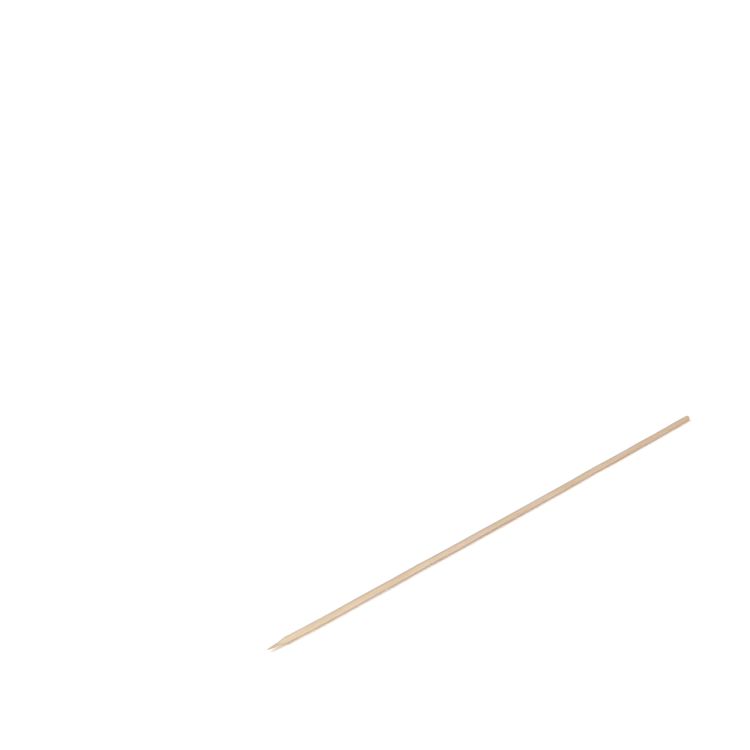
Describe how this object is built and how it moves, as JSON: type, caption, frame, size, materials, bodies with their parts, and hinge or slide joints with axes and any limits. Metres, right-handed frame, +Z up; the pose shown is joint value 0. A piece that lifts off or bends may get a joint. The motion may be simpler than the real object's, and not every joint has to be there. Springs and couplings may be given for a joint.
{
  "type": "bamboo skewer",
  "caption": "Long thin round bamboo stick, ground to a slender point at one end and sawn square at the other, for threading and holding food on a grill or a plate.",
  "frame": {"origin": "under the middle of the skewer's bounding box, on the surface that it lies on", "axes": "+X along the skewer towards its sawn butt, with the point at -X; +Z up, across the rod; the middle of the rod bows towards -Y"},
  "size_m": [0.3, 0.0038, 0.0029],
  "materials": {
    "bamboo": "raw bamboo, dry and unvarnished, fine lengthwise fibres"
  },
  "bodies": {
    "root": {"skewer": "bamboo"}
  },
  "joints": []
}
